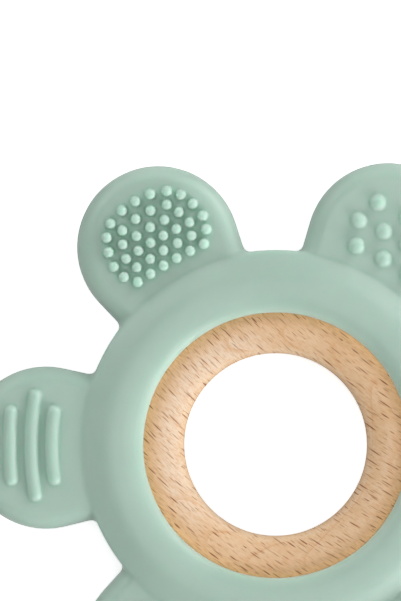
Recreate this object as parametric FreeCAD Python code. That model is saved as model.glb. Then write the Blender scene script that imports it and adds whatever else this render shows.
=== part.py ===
import FreeCAD, Part
import math
import os

# Teething ring: a beech ring that turns in the groove of a soft silicone flower with six petals.
# Millimetres. The toy lies flat with +Z along the ring's axis and the origin at the ring's centre,
# at mid thickness. Every shape is the same above and below Z = 0.

# Beech ring
BORE_R = 17.5
WOOD_R = 27.5
WOOD_HALF_T = 4.5
BORE_HALF_LENGTH = 1.3  # straight part of the bore, and of the rim
WOOD_EDGE_W = 1.1  # width of the rounded edge beside the bore, and beside the rim
WOOD_EDGE_Z = 3.5  # height at which the rounded edge meets the crowned face

# Silicone ring round the beech ring
GROOVE_GAP = 0.1  # running clearance between the beech and the groove
LIP_R = 25.3
LIP_Z = 4.6  # top of the lip's upright inner edge
CROWN_HALF_T = 7.0
CROWN_INNER_R = 29.3  # the crown is a narrow flat land, on which the toy rests
CROWN_OUTER_R = 30.5
SHOULDER_R = 33.8
RAMP_DEG = 28.0  # fall of the straight ramp outside the shoulder
RAMP_END_R = 36.4
SILICONE_R = 37.25

# Petals
PETALS = 6
PETAL_R = 15.55
PETAL_CENTRE_R = 44.0
PETAL_HALF_T = 4.4
PETAL_RIM_W = 3.4  # width of the rim that curves down to the petal's edge
PETAL_ROUND_DEG = 206.0  # how far round its outline is an arc, before its straight sides
PETAL_SIDE = 9.0  # length of a straight side, most of it inside the ring
NECK_FILLET = 1.4  # where a petal leaves the silicone ring

# Raised textures, one to a petal and the same on both faces
TEXTURE_TURN = -0.75  # degrees about the ring's axis from a petal's middle to its texture's
FOOT_FILLET = 0.15
BUMP_ROOT = 0.5  # how deep a nub or dome starts inside the petal
NUB_R = 0.98
NUB_H = 2.3
NUB_CAP_H = 0.55
DOME_R = 1.5
DOME_H = 1.3
DOME_CAP_H = 0.95
RIDGE_HALF_W = 1.25

# Each ridge: its middle's distance from the ring's axis, its length and the radius of its bend
RIDGES = (
    (42.8, 15.3, 38.0),
    (46.7, 21.4, 54.0),
    (50.7, 15.3, 100.0),
)

# Each row of nubs or domes: their number, the row's distance from the ring's axis at its middle,
# their spacing, and how much nearer to the axis each one is, from the row's middle outwards
NUB_ROWS = (
    (6, 40.4, 2.9, (0, 0.1, 0.25)),
    (7, 42.9, 3.01, (0, 0.15, 0.25, 0.6)),
    (8, 45.35, 2.78, (0, 0.15, 0.3, 0.45)),
    (7, 47.95, 3.08, (0, 0.15, 0.2, 0.15)),
    (6, 50.7, 3.26, (0, 0.6, 0.3)),
    (5, 53.65, 3.1, (0, 0.25, 1.3)),
)
DOME_ROWS = (
    (3, 41.0, 5.7, (0, 0.4)),
    (4, 45.6, 5.15, (0, 0.55)),
    (3, 50.2, 6.3, (0, 0.4)),
)

SHARP = math.radians(10)  # faces that meet at less than this run on smoothly
UP = FreeCAD.Vector(0, 0, 1)
ALONG_Y = FreeCAD.Vector(0, 1, 0)
CENTRE = FreeCAD.Vector(0, 0, 0)


def at(r, z):
    """A point of a section, at radius r from the section's axis."""
    return FreeCAD.Vector(r, 0, z)


def line(start, end):
    return Part.makeLine(start, end)


def arc_leaving(start, heading, end):
    """An arc from start to end that leaves start along heading."""
    side = FreeCAD.Vector(-heading.z, 0, heading.x)
    chord = end - start
    centre = start + side * (chord.dot(chord) / (2 * chord.dot(side)))
    radius = (start - centre).Length
    middle = (start + end) * 0.5 - centre
    middle.normalize()
    return Part.Arc(start, centre + middle * radius, end).toShape()


def quarter_ellipse(centre, reach_r, reach_z):
    """A quarter of an ellipse, between its tips at centre + reach_r and centre + reach_z."""
    reaches = sorted((at(reach_r, 0), at(0, reach_z)), key=lambda reach: reach.Length)
    ellipse = Part.Ellipse(centre + reaches[1], centre + reaches[0], centre)
    return Part.ArcOfEllipse(ellipse, 0, math.pi / 2).toShape()


def section(upper_edges):
    """The face inside upper_edges and their mirror image in Z = 0."""
    lower_edges = [e.mirror(CENTRE, UP) for e in upper_edges]
    return Part.Face(Part.Wire(Part.__sortEdges__(upper_edges + lower_edges)))


def spun(face):
    """The solid that face sweeps in a full turn."""
    return face.revolve(CENTRE, UP, 360)


def beech_section():
    """The beech ring's section: straight bore and rim, rounded edges and crowned faces."""
    middle_r = (BORE_R + WOOD_R) / 2
    bore_end = at(BORE_R, BORE_HALF_LENGTH)
    rim_end = at(WOOD_R, BORE_HALF_LENGTH)
    inner_edge = at(BORE_R + WOOD_EDGE_W, WOOD_EDGE_Z)
    outer_edge = at(WOOD_R - WOOD_EDGE_W, WOOD_EDGE_Z)
    return section([
        line(at(BORE_R, 0), bore_end),
        arc_leaving(bore_end, UP, inner_edge),
        Part.Arc(inner_edge, at(middle_r, WOOD_HALF_T), outer_edge).toShape(),
        arc_leaving(rim_end, UP, outer_edge),
        line(at(WOOD_R, 0), rim_end),
    ])


def ring_blank():
    """The silicone ring before its groove is cut."""
    fall = math.radians(RAMP_DEG)
    shoulder_round = (SHOULDER_R - CROWN_OUTER_R) / math.sin(fall)
    shoulder_z = CROWN_HALF_T - shoulder_round * (1 - math.cos(fall))
    ramp_end_z = shoulder_z - (RAMP_END_R - SHOULDER_R) * math.tan(fall)
    edge_round = (SILICONE_R - RAMP_END_R) / (1 - math.sin(fall))
    wall_z = ramp_end_z - edge_round * math.cos(fall)
    down_ramp = FreeCAD.Vector(math.cos(fall), 0, -math.sin(fall))
    crown_outer = at(CROWN_OUTER_R, CROWN_HALF_T)
    shoulder = at(SHOULDER_R, shoulder_z)
    ramp_end = at(RAMP_END_R, ramp_end_z)
    wall_top = at(SILICONE_R, wall_z)
    return spun(section([
        line(at(LIP_R, 0), at(LIP_R, LIP_Z)),
        quarter_ellipse(at(CROWN_INNER_R, LIP_Z), LIP_R - CROWN_INNER_R, CROWN_HALF_T - LIP_Z),
        line(at(CROWN_INNER_R, CROWN_HALF_T), crown_outer),
        arc_leaving(crown_outer, at(1, 0), shoulder),
        line(shoulder, ramp_end),
        arc_leaving(ramp_end, down_ramp, wall_top),
        line(wall_top, at(SILICONE_R, 0)),
    ]))


def plain_petal():
    """A petal on the +X side of the ring: a flat disc with a rim that curves down to its edge,
    and straight sides that narrow a little on the way to the ring."""
    flat_r = PETAL_R - PETAL_RIM_W
    middle = at(0, PETAL_HALF_T)
    half_section = section([
        quarter_ellipse(at(flat_r, 0), PETAL_RIM_W, PETAL_HALF_T),
        line(at(flat_r, PETAL_HALF_T), middle),
        line(middle, CENTRE),
    ])
    head = half_section.revolve(CENTRE, UP, PETAL_ROUND_DEG)
    head.rotate(CENTRE, UP, -PETAL_ROUND_DEG / 2)
    side = half_section.extrude(ALONG_Y * PETAL_SIDE)
    side.rotate(CENTRE, UP, PETAL_ROUND_DEG / 2)
    petal = head.multiFuse([side, side.mirror(CENTRE, ALONG_Y)]).removeSplitter()
    petal.translate(at(PETAL_CENTRE_R, 0))
    return petal


def standing(post, rows):
    """Copies of post on a petal's upper face, row by row, spread evenly about its middle."""
    placed = []
    for count, r, spacing, insets in rows:
        for i in range(count):
            side = i - (count - 1) / 2
            inset = insets[int(abs(side))]
            copy = post.copy()
            copy.translate(FreeCAD.Vector(r - inset, side * spacing, PETAL_HALF_T))
            placed.append(copy)
    return placed


def bump(radius, height, cap_height):
    """A short round post with a spherical cap, standing on Z = 0."""
    bottom = at(0, -BUMP_ROOT)
    foot = at(radius, -BUMP_ROOT)
    rim = at(radius, height - cap_height)
    top = at(0, height)
    cap = arc_leaving(top, at(1, 0), rim)
    edges = [line(top, bottom), line(bottom, foot), line(foot, rim), cap]
    return spun(Part.Face(Part.Wire(Part.__sortEdges__(edges))))


def ridge(length, bend_r):
    """A half-round ridge with round ends, along an arc of radius bend_r about the Z axis."""
    half_turn = math.degrees((length / 2 - RIDGE_HALF_W) / bend_r)
    circle = Part.makeCircle(RIDGE_HALF_W, at(bend_r, 0), ALONG_Y)
    bar = Part.Face(Part.Wire(circle)).revolve(CENTRE, UP, 2 * half_turn)
    bar.rotate(CENTRE, UP, -half_turn)
    end = Part.makeSphere(RIDGE_HALF_W, at(bend_r, 0), UP, -90, 90, 180)
    end.rotate(CENTRE, UP, half_turn)
    return bar.multiFuse([end, end.mirror(CENTRE, ALONG_Y)])


def nubs():
    return standing(bump(NUB_R, NUB_H, NUB_CAP_H), NUB_ROWS)


def domes():
    return standing(bump(DOME_R, DOME_H, DOME_CAP_H), DOME_ROWS)


def ridges():
    bars = []
    for r, length, bend_r in RIDGES:
        bar = ridge(length, bend_r)
        bar.translate(at(r - bend_r, PETAL_HALF_T))
        bars.append(bar)
    return bars


def creases(shape):
    """The edges at which two faces of shape meet at an angle."""
    found = []
    for edge in shape.Edges:
        if edge.Degenerated:
            continue
        faces = shape.ancestorsOfType(edge, Part.Face)
        if len(faces) != 2:
            continue
        middle = edge.valueAt((edge.FirstParameter + edge.LastParameter) / 2)
        normals = [f.normalAt(*f.Surface.parameter(middle)) for f in faces]
        if normals[0].getAngle(normals[1]) > SHARP:
            found.append(edge)
    return found


def softened(shape, radius):
    """shape with every crease filled to radius."""
    return shape.makeFillet(radius, creases(shape))


def textured_petal(texture):
    """A petal with the same raised texture on both faces."""
    upper = texture()
    for solid in upper:
        solid.rotate(CENTRE, UP, TEXTURE_TURN)
    lower = [solid.mirror(CENTRE, UP) for solid in upper]
    return softened(plain_petal().multiFuse(upper + lower), FOOT_FILLET)


def silicone_body():
    """The one-piece flower: the grooved ring with its six petals."""
    kinds = [textured_petal(texture) for texture in (ridges, domes, nubs)]
    petals = []
    for i in range(PETALS):
        petal = kinds[i % len(kinds)].copy()
        petal.rotate(CENTRE, UP, i * 360 / PETALS)
        petals.append(petal)
    flower = softened(ring_blank().multiFuse(petals), NECK_FILLET)
    groove = spun(beech_section().makeOffset2D(GROOVE_GAP))
    return flower.cut(groove)


def write(shape, node):
    """Writes the one solid of shape as the part NODE."""
    shape.Solids[0].exportStep(os.path.join("parts", node + ".step"))


os.makedirs("parts", exist_ok=True)
write(spun(beech_section()), "beech_ring")
write(silicone_body(), "silicone_body")
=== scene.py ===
import math

import bpy
import numpy as np
from mathutils import Euler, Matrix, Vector


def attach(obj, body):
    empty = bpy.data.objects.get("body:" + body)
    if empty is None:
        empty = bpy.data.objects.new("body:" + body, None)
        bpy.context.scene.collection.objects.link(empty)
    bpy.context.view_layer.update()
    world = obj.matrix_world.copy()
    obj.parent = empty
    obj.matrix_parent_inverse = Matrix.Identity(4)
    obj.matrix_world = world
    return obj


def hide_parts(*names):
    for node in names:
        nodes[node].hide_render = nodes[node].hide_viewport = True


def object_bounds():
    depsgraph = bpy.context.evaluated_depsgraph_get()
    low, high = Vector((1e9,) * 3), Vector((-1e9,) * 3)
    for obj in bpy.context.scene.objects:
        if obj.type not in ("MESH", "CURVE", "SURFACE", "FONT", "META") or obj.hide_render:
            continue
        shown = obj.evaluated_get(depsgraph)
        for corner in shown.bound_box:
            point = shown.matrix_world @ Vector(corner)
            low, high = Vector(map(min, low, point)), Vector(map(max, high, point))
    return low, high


# Looks of the teething ring. Metres, in the CAD frame: +Z is the ring's axis and Z = 0 its mid
# thickness, so the toy rests on the floor at the lowest point of its box.

MM = 0.001

# The view: straight down and slightly turned, on a spot up and left of the ring's centre
VIEW_TURN = math.radians(-0.75)
VIEW_CENTRE = Vector((-14.4 * MM, 27.6 * MM, 0))  # from the ring's centre, along the view's axes
VIEW_HEIGHT = 115.1 * MM  # what the image's long side shows
CAMERA_DISTANCE = 1.0
SENSOR = 36.0  # mm
CLIP_START = 0.01
CLIP_END = 10.0

# Soft boxes aimed at the toy: name, azimuth from +X and elevation in degrees, and watts
LIGHTS = (
    ("top", 0, 90, 2.35),
    ("right_front", 317, 15, 7.2),
    ("right_back", 43, 15, 5.6),
    ("left_back", 137, 24, 3.0),
    ("front", 262, 15, 1.7),
)
LIGHT_DISTANCE = 0.9
LIGHT_SIZE = 0.45
WORLD_STRENGTH = 0.27

# The floor: nearly white, and lit a little from within so that shadows on it stay faint
FLOOR_HALF_SIDE = 3.0
FLOOR_WHITES = ((244, 244, 244), (250, 250, 250))
FLOOR_GLOW = 0.6

# The meshes
WELD_DISTANCE = 0.001 * MM
FLOWER_VOXEL = 0.22 * MM  # the squares in which a surface is rebuilt
RING_VOXEL = 0.25 * MM
SOFTENING_ROUNDS = 4  # of smoothing, to soften the edges
HOLLOW_ROUNDS = 30  # of smoothing, to the even surface from which hollows are measured
TRIANGLES = 190_000  # about how many each piece keeps

IOR = 1.45  # of the silicone, and of the beech

# The silicone. Colours are display values from 0 to 255, and a noise's scale is in 1 / m.
SAGES = ((163, 187, 175), (168, 191, 179))
# painted shade: the deeper, greener sage put in hollows, where shade and green bounce light fall
SAGE_PAINTED_SHADE_IN_HOLLOWS = (146, 198, 174)
# painted highlight: the paler sage put on the tips of bumps
SAGE_PAINTED_LIGHT_ON_BUMPS = (174, 198, 186)
HOLLOW_SHADE_DEPTHS = (0.02, 0.3)  # mm below the even surface: where the painted shade starts and where it is full
# mm above the even surface, as negative depths: where the painted highlight on bumps starts and where
# it is full
BUMP_LIGHT_DEPTHS = (-0.05, -0.4)
CLOUD_SCALE = 70.0
SATIN_SCALE = 2600.0
POWDER_SCALE = 9000.0
SATIN_DEPTH = 0.02 * MM
POWDER_DEPTH = 0.01 * MM
SILICONE_ROUGHNESS = (0.42, 0.54)
SHEEN = 0.25
SHEEN_ROUGHNESS = 0.4
SCATTER = (0.6, 1.0, 0.8)  # how far red, green and blue light spreads inside, for each SCATTER_SCALE
SCATTER_SCALE = 3.0 * MM

# The beech's grain
GRAIN_TURN = math.radians(-38)  # its direction, from +X
GRAIN_MIDDLE = 3 * MM  # where along the grain it has that direction
GRAIN_CURVATURE = 5.4  # 1 / m
LAYER_RISE = (0.19, 0.06, 1.0)  # which way the growth layers follow on each other, X along the grain
LAYER = 1.9 * MM
FIRST_LAYER = -0.5 * MM  # where one of the layers ends
LATE_WOOD_START = 0.86  # of the way through a layer
LAYER_DRIFT = 1.6 * MM  # how far the layers wander up and down
DRIFT_SCALE = 90.0
TONE_PERIOD = 10.5 * MM  # the wood is palest in layers this far apart
PALEST = 0.45 * MM  # one of them
FIBRE_SCALE = 4200.0
FIBRE_STRETCH = (1 / 6.0, 1.0, 0.6)
STREAK_SCALE = 900.0
STREAK_STRETCH = (1 / 9.0, 1.0, 0.5)
BLOTCH_SCALE = 130.0
GRAIN_DEPTH = 0.03 * MM
BEECH_ROUGHNESS = (0.5, 0.66)

# The beech's colours
BEECHES = ((213, 178, 138), (218, 187, 152))
BEECH_PALE = (220, 198, 173)
BEECH_LATE = (202, 154, 110)
BEECH_STREAK = (204, 160, 114)
BEECH_FIBRE = (204, 146, 96)

# The turned ring is greyer by its bore. Towards the silicone it has painted shade, a warmer gold
# where the lip shades it, and at the very rim painted light, brighter, which offsets the lip's
# shadow. Each tint: the distances from the axis at which it starts and is full, its share and its
# colour
RING_TINTS_AND_PAINTED_LIP_SHADING = (
    (18.9 * MM, 18.3 * MM, 0.7, (220, 196, 165)),
    (21.3 * MM, 23.6 * MM, 0.8, (226, 184, 139)),
    (23.6 * MM, 25.2 * MM, 0.8, (250, 202, 144)),
)

# Ray flecks, from faint to strong: the cells that hold one each (along, across and through the
# grain), the longest half length, the half width, the shift of the cells, the share and the colour
FLECKS = (
    ((2.4 * MM, 0.9 * MM, 4.0 * MM), 1.0 * MM, 0.09 * MM, (0.03, 0.21, 0.07), 0.4, (168, 114, 64)),
    ((3.4 * MM, 1.25 * MM, 5.0 * MM), 1.3 * MM, 0.11 * MM, (0.1, 0.05, 0.02), 0.75, (150, 90, 38)),
    ((6.0 * MM, 1.7 * MM, 6.0 * MM), 1.9 * MM, 0.15 * MM, (0, 0, 0), 0.95, (130, 68, 20)),
)
FLECK_SINK = 0.3  # how deep the strong flecks lie, for each GRAIN_DEPTH


def linear_colour(display):
    """A display colour, 0 to 255, as the linear colour that shaders take."""
    linear = []
    for value in display:
        s = value / 255
        linear.append(s / 12.92 if s <= 0.04045 else ((s + 0.055) / 1.055) ** 2.4)
    return (*linear, 1.0)


class Nodes:
    """Short calls that add shader nodes to one material."""

    def __init__(self, name):
        self.material = bpy.data.materials.new(name)
        self.material.use_nodes = True
        self.tree = self.material.node_tree
        self.tree.nodes.clear()

    def add(self, kind, **settings):
        node = self.tree.nodes.new("ShaderNode" + kind)
        for key, value in settings.items():
            setattr(node, key, value)
        return node

    def link(self, source, target):
        self.tree.links.new(source, target)

    def feed(self, target, value):
        """Sets an input to a number or colour, or joins it to another node's output."""
        if isinstance(value, bpy.types.NodeSocket):
            self.link(value, target)
        else:
            target.default_value = value

    def maths(self, operation, a, b=0.0):
        node = self.add("Math", operation=operation)
        self.feed(node.inputs[0], a)
        self.feed(node.inputs[1], b)
        return node.outputs[0]

    def vector_maths(self, operation, a, b):
        node = self.add("VectorMath", operation=operation)
        self.feed(node.inputs[0], a)
        self.feed(node.inputs[1], b)
        return node.outputs[0]

    def reach(self, vector, direction):
        """How far vector goes along direction."""
        node = self.add("VectorMath", operation="DOT_PRODUCT")
        self.feed(node.inputs[0], vector)
        self.feed(node.inputs[1], direction)
        return node.outputs["Value"]

    def span(self, value, low, high, to_low=0.0, to_high=1.0):
        """value from low..high to to_low..to_high, clamped."""
        node = self.add("MapRange")
        self.feed(node.inputs["Value"], value)
        node.inputs["From Min"].default_value = low
        node.inputs["From Max"].default_value = high
        node.inputs["To Min"].default_value = to_low
        node.inputs["To Max"].default_value = to_high
        return node.outputs["Result"]

    def mix(self, share, a, b):
        """A mix of the colours a and b, with this share of b."""
        node = self.add("Mix", data_type="RGBA")
        self.feed(node.inputs["Factor"], share)
        self.feed(node.inputs["A"], a)
        self.feed(node.inputs["B"], b)
        return node.outputs["Result"]

    def noise(self, vector, scale, detail=2.0, roughness=0.5):
        node = self.add("TexNoise")
        self.link(vector, node.inputs["Vector"])
        node.inputs["Scale"].default_value = scale
        node.inputs["Detail"].default_value = detail
        node.inputs["Roughness"].default_value = roughness
        return node.outputs["Fac"]

    def bump(self, height, distance, strength, normal=None):
        node = self.add("Bump")
        self.link(height, node.inputs["Height"])
        node.inputs["Distance"].default_value = distance
        node.inputs["Strength"].default_value = strength
        if normal is not None:
            self.link(normal, node.inputs["Normal"])
        return node.outputs["Normal"]

    def surface(self, shader):
        output = self.add("OutputMaterial")
        self.link(shader, output.inputs["Surface"])
        return self.material


def silicone_material():
    """Sage silicone: soft and translucent, with the fine satin finish of a blasted mould. Its hollows
    carry a painted shade of deeper green, and its bumps a painted highlight.
    """
    n = Nodes("sage_silicone")
    place = n.add("TexCoord").outputs["Object"]
    cloud = n.noise(place, CLOUD_SCALE, detail=3.0)
    satin = n.noise(place, SATIN_SCALE)
    powder = n.noise(place, POWDER_SCALE, detail=1.0)
    sages = [linear_colour(sage) for sage in SAGES]
    colour = n.mix(n.span(cloud, 0.35, 0.65), *sages)
    hollow = n.add("Attribute", attribute_name="hollow").outputs["Fac"]
    # painted shade: hollows tinted deeper green
    colour = n.mix(n.span(hollow, *HOLLOW_SHADE_DEPTHS), colour, linear_colour(SAGE_PAINTED_SHADE_IN_HOLLOWS))
    # painted highlight: bumps and tips tinted paler
    colour = n.mix(n.span(hollow, *BUMP_LIGHT_DEPTHS), colour, linear_colour(SAGE_PAINTED_LIGHT_ON_BUMPS))
    both = n.maths("ADD", n.maths("MULTIPLY", cloud, 0.5), n.maths("MULTIPLY", satin, 0.5))
    p = n.add("BsdfPrincipled")
    n.link(colour, p.inputs["Base Color"])
    n.link(n.span(both, 0.35, 0.65, *SILICONE_ROUGHNESS), p.inputs["Roughness"])
    p.inputs["IOR"].default_value = IOR
    p.inputs["Sheen Weight"].default_value = SHEEN
    p.inputs["Sheen Roughness"].default_value = SHEEN_ROUGHNESS
    p.inputs["Subsurface Weight"].default_value = 1.0
    p.inputs["Subsurface Radius"].default_value = SCATTER
    p.inputs["Subsurface Scale"].default_value = SCATTER_SCALE
    fine = n.bump(powder, POWDER_DEPTH, 0.35)
    n.link(n.bump(satin, SATIN_DEPTH, 0.4, fine), p.inputs["Normal"])
    return n.surface(p.outputs["BSDF"])


def along_grain(n, place):
    """Object coordinates with X along the beech's slightly curved grain and Y across it."""
    turn = n.add("VectorRotate", rotation_type="Z_AXIS")
    n.link(place, turn.inputs["Vector"])
    turn.inputs["Angle"].default_value = -GRAIN_TURN
    parts = n.add("SeparateXYZ")
    n.link(turn.outputs["Vector"], parts.inputs[0])
    x, y, z = parts.outputs
    off_middle = n.maths("SUBTRACT", x, GRAIN_MIDDLE)
    sag = n.maths("MULTIPLY", n.maths("MULTIPLY", off_middle, off_middle), GRAIN_CURVATURE / 2)
    joined = n.add("CombineXYZ")
    n.link(x, joined.inputs["X"])
    n.link(n.maths("SUBTRACT", y, sag), joined.inputs["Y"])
    n.link(z, joined.inputs["Z"])
    return joined.outputs[0]


def ray_flecks(n, grain_place, cell, half_length, half_width, shift):
    """Beech's short dark rays, spindles along the grain, one to a cell. 0 to 1.

    They differ by chance in length, down to half, and in darkness, down to about a third."""
    moved = n.vector_maths("ADD", grain_place, shift)
    scaled = n.vector_maths("DIVIDE", moved, cell)
    cells = n.add("TexVoronoi", voronoi_dimensions="3D", feature="F1")
    n.link(scaled, cells.inputs["Vector"])
    cells.inputs["Scale"].default_value = 1.0
    away = n.vector_maths("SUBTRACT", scaled, cells.outputs["Position"])
    real = n.add("SeparateXYZ")
    n.link(n.vector_maths("MULTIPLY", away, cell), real.inputs[0])
    chance = n.add("SeparateColor")
    n.link(cells.outputs["Color"], chance.inputs[0])
    length = n.span(chance.outputs[0], 0.0, 1.0, 0.5 * half_length, half_length)
    along = n.maths("ABSOLUTE", n.maths("DIVIDE", real.outputs["X"], length))
    across = n.maths("ABSOLUTE", n.maths("DIVIDE", real.outputs["Y"], half_width))
    spindle = n.span(n.maths("ADD", n.maths("MULTIPLY", along, along), across), 1.0, 0.5)
    darkness = n.span(chance.outputs[1], 0.1, 0.9, 0.35, 1.0)
    return n.maths("MULTIPLY", spindle, darkness)


def growth_layers(n, place):
    """How deep in the board's growth layers a point lies. Metres."""
    drift = n.noise(n.vector_maths("MULTIPLY", place, (0.4, 1.0, 1.0)), DRIFT_SCALE)
    lift = n.maths("MULTIPLY", n.maths("SUBTRACT", drift, 0.5), LAYER_DRIFT)
    return n.maths("ADD", n.reach(place, LAYER_RISE), lift)


def paleness(n, depth):
    """The slow change of tone between layers: 1 where the wood is palest, -1 where it is goldest."""
    turns = n.maths("DIVIDE", n.maths("SUBTRACT", depth, PALEST), TONE_PERIOD / (2 * math.pi))
    return n.maths("COSINE", turns)


def late_wood(n, depth):
    """The thin darker line in which each growth layer ends. 0 to 1."""
    count = n.maths("DIVIDE", n.maths("SUBTRACT", depth, FIRST_LAYER), LAYER)
    return n.span(n.maths("FRACT", count), LATE_WOOD_START, 1.0)


def distance_from_axis(n, place):
    flat = n.add("VectorMath", operation="LENGTH")
    n.link(n.vector_maths("MULTIPLY", place, (1.0, 1.0, 0.0)), flat.inputs[0])
    return flat.outputs["Value"]


def beech_material():
    """Bare sanded beech, as a solid texture: fine fibres, growth layers and short ray flecks."""
    n = Nodes("sanded_beech")
    coordinates = n.add("TexCoord").outputs["Object"]
    place = along_grain(n, coordinates)
    fibres = n.noise(n.vector_maths("MULTIPLY", place, FIBRE_STRETCH), FIBRE_SCALE, 3.0, 0.7)
    streaks = n.noise(n.vector_maths("MULTIPLY", place, STREAK_STRETCH), STREAK_SCALE, 3.0, 0.55)
    blotches = n.noise(place, BLOTCH_SCALE)
    depth = growth_layers(n, place)
    radius = distance_from_axis(n, coordinates)
    beeches = [linear_colour(beech) for beech in BEECHES]
    colour = n.mix(n.span(blotches, 0.35, 0.65), *beeches)
    colour = n.mix(n.span(paleness(n, depth), -0.1, 0.95), colour, linear_colour(BEECH_PALE))
    late = n.maths("MULTIPLY", late_wood(n, depth), 0.6)
    colour = n.mix(late, colour, linear_colour(BEECH_LATE))
    # the last two tints are painted shade and painted light from the silicone lip
    for start, full, share, tint in RING_TINTS_AND_PAINTED_LIP_SHADING:
        colour = n.mix(n.span(radius, start, full, 0.0, share), colour, linear_colour(tint))
    colour = n.mix(n.span(streaks, 0.4, 0.7, 0.0, 0.35), colour, linear_colour(BEECH_STREAK))
    colour = n.mix(n.span(fibres, 0.48, 0.68, 0.0, 0.6), colour, linear_colour(BEECH_FIBRE))
    for cell, half_length, half_width, shift, share, tint in FLECKS:
        flecks = ray_flecks(n, place, cell, half_length, half_width, shift)
        colour = n.mix(n.maths("MULTIPLY", flecks, share), colour, linear_colour(tint))
    p = n.add("BsdfPrincipled")
    n.link(colour, p.inputs["Base Color"])
    n.link(n.span(fibres, 0.3, 0.7, *BEECH_ROUGHNESS), p.inputs["Roughness"])
    p.inputs["IOR"].default_value = IOR
    relief = n.maths("SUBTRACT", fibres, n.maths("MULTIPLY", flecks, FLECK_SINK))
    n.link(n.bump(relief, GRAIN_DEPTH, 0.5), p.inputs["Normal"])
    return n.surface(p.outputs["BSDF"])


def floor_material():
    n = Nodes("pale_floor")
    p = n.add("BsdfPrincipled")
    place = n.add("TexCoord").outputs["Object"]
    whites = [linear_colour(white) for white in FLOOR_WHITES]
    n.link(n.mix(n.noise(place, 8.0), *whites), p.inputs["Base Color"])
    p.inputs["Roughness"].default_value = 0.9
    p.inputs["Emission Color"].default_value = (1, 1, 1, 1)
    p.inputs["Emission Strength"].default_value = FLOOR_GLOW
    return n.surface(p.outputs["BSDF"])


def dress(piece, material):
    piece.data.materials.clear()
    piece.data.materials.append(material)
    for polygon in piece.data.polygons:
        polygon.use_smooth = True


def with_modifiers(mesh, modifiers):
    """A new mesh made from a copy of mesh by modifiers, each a kind and its settings."""
    source = bpy.data.objects.new("source", mesh.copy())
    bpy.context.scene.collection.objects.link(source)
    for kind, settings in modifiers:
        modifier = source.modifiers.new(kind, kind)
        for key, value in settings.items():
            setattr(modifier, key, value)
    depsgraph = bpy.context.evaluated_depsgraph_get()
    made = bpy.data.meshes.new_from_object(source.evaluated_get(depsgraph))
    bpy.data.objects.remove(source)
    return made


def remeshed(mesh, voxel):
    """The shape of mesh in even fine squares."""
    return with_modifiers(mesh, [
        ("WELD", {"merge_threshold": WELD_DISTANCE}),
        ("REMESH", {"mode": "VOXEL", "voxel_size": voxel}),
    ])


def thinned(mesh, triangles):
    """mesh, which is all squares, cut down to about that many triangles, fewest where it is flat."""
    return with_modifiers(mesh, [("DECIMATE", {"ratio": triangles / (2 * len(mesh.polygons))})])


def vertex_values(mesh, name):
    values = np.empty(len(mesh.vertices) * 3)
    mesh.vertices.foreach_get(name, values)
    return values.reshape(-1, 3)


def relaxed(mesh, points, rounds):
    """points moved half way to the mean of their neighbours in the mesh, in each round."""
    edges = np.empty(len(mesh.edges) * 2, dtype=np.int32)
    mesh.edges.foreach_get("vertices", edges)
    starts = edges[0::2]
    ends = edges[1::2]
    count = np.bincount(edges, minlength=len(points))
    points = points.copy()
    for _ in range(rounds):
        for axis in range(3):
            value = points[:, axis]
            total = np.bincount(starts, value[ends], len(points))
            total += np.bincount(ends, value[starts], len(points))
            value += 0.5 * (total / count - value)
    return points


def note_hollows(mesh):
    """Stores how far each point lies below the even surface around it, in mm, as "hollow"."""
    points = vertex_values(mesh, "co")
    rise = relaxed(mesh, points, HOLLOW_ROUNDS) - points
    depth = (rise * vertex_values(mesh, "normal")).sum(axis=1) / MM
    hollow = mesh.attributes.new("hollow", "FLOAT", "POINT")
    hollow.data.foreach_set("value", depth.astype(np.float32))


def softened(node, voxel):
    """The CAD node's shape as a fine mesh with the soft edges of a moulded or sanded part."""
    mesh = remeshed(node.data, voxel)
    points = relaxed(mesh, vertex_values(mesh, "co"), SOFTENING_ROUNDS)
    mesh.vertices.foreach_set("co", points.ravel())
    mesh.update()
    return mesh


def stand_in(node, name, body, material, fine_mesh):
    """A fine piece in place of a CAD node."""
    mesh = thinned(fine_mesh, TRIANGLES)
    mesh.name = name
    piece = bpy.data.objects.new(name, mesh)
    bpy.context.scene.collection.objects.link(piece)
    dress(piece, material)
    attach(piece, body)
    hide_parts(node.name)


def make_floor(z):
    mesh = bpy.data.meshes.new("floor")
    side = FLOOR_HALF_SIDE
    corners = [(-side, -side, z), (side, -side, z), (side, side, z), (-side, side, z)]
    mesh.from_pydata(corners, [], [(0, 1, 2, 3)])
    floor = bpy.data.objects.new("floor", mesh)
    bpy.context.scene.collection.objects.link(floor)
    mesh.materials.append(floor_material())
    floor.visible_diffuse = False  # the floor is white, but throws no light on the toy
    floor.visible_glossy = False


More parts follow.
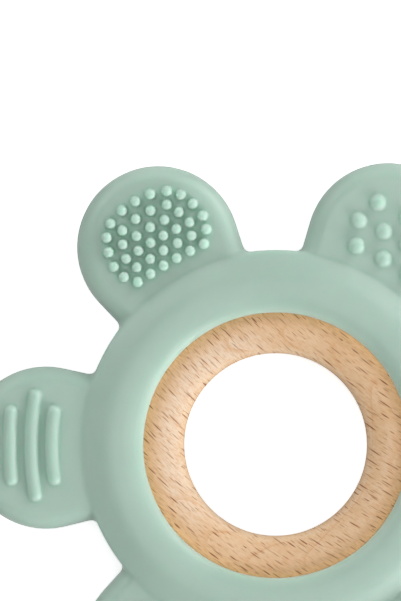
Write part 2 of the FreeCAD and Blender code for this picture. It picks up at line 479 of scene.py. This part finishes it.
def area_light(name, azimuth, elevation, power):
    """A soft square light aimed at the toy. Azimuth 0 is +X."""
    data = bpy.data.lights.new(name, "AREA")
    data.shape = "SQUARE"
    data.size = LIGHT_SIZE
    data.energy = power
    light = bpy.data.objects.new(name, data)
    a, e = math.radians(azimuth), math.radians(elevation)
    out = Vector((math.cos(a) * math.cos(e), math.sin(a) * math.cos(e), math.sin(e)))
    light.location = out * LIGHT_DISTANCE
    light.rotation_mode = "QUATERNION"
    light.rotation_quaternion = out.to_track_quat("Z", "Y")
    light.visible_camera = False
    bpy.context.scene.collection.objects.link(light)


def light_scene():
    world = bpy.data.worlds.new("studio")
    world.use_nodes = True
    background = world.node_tree.nodes["Background"]
    background.inputs["Color"].default_value = (1, 1, 1, 1)
    background.inputs["Strength"].default_value = WORLD_STRENGTH
    bpy.context.scene.world = world
    for name, azimuth, elevation, power in LIGHTS:
        area_light(name, azimuth, elevation, power)
    bpy.context.scene.view_settings.view_transform = "Standard"


def make_camera():
    data = bpy.data.cameras.new("camera")
    data.sensor_width = SENSOR
    data.lens = SENSOR * CAMERA_DISTANCE / VIEW_HEIGHT
    data.clip_start = CLIP_START
    data.clip_end = CLIP_END
    camera = bpy.data.objects.new("camera", data)
    turn = Euler((0, 0, VIEW_TURN))
    camera.rotation_euler = turn
    camera.location = turn.to_matrix() @ VIEW_CENTRE + Vector((0, 0, CAMERA_DISTANCE))
    bpy.context.scene.collection.objects.link(camera)
    bpy.context.scene.camera = camera


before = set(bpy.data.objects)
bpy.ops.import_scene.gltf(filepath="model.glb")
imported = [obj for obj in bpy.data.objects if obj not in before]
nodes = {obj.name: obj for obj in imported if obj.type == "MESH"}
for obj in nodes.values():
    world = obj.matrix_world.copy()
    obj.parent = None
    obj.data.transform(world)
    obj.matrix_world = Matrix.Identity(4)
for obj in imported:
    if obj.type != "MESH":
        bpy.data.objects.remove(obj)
cad_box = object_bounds()
make_camera()
make_floor(cad_box[0].z)
light_scene()
flower_mesh = softened(nodes["silicone_body"], FLOWER_VOXEL)
note_hollows(flower_mesh)
ring_mesh = softened(nodes["beech_ring"], RING_VOXEL)
stand_in(nodes["silicone_body"], "silicone_flower", "flower", silicone_material(),
         flower_mesh)
stand_in(nodes["beech_ring"], "beech_annulus", "ring", beech_material(), ring_mesh)
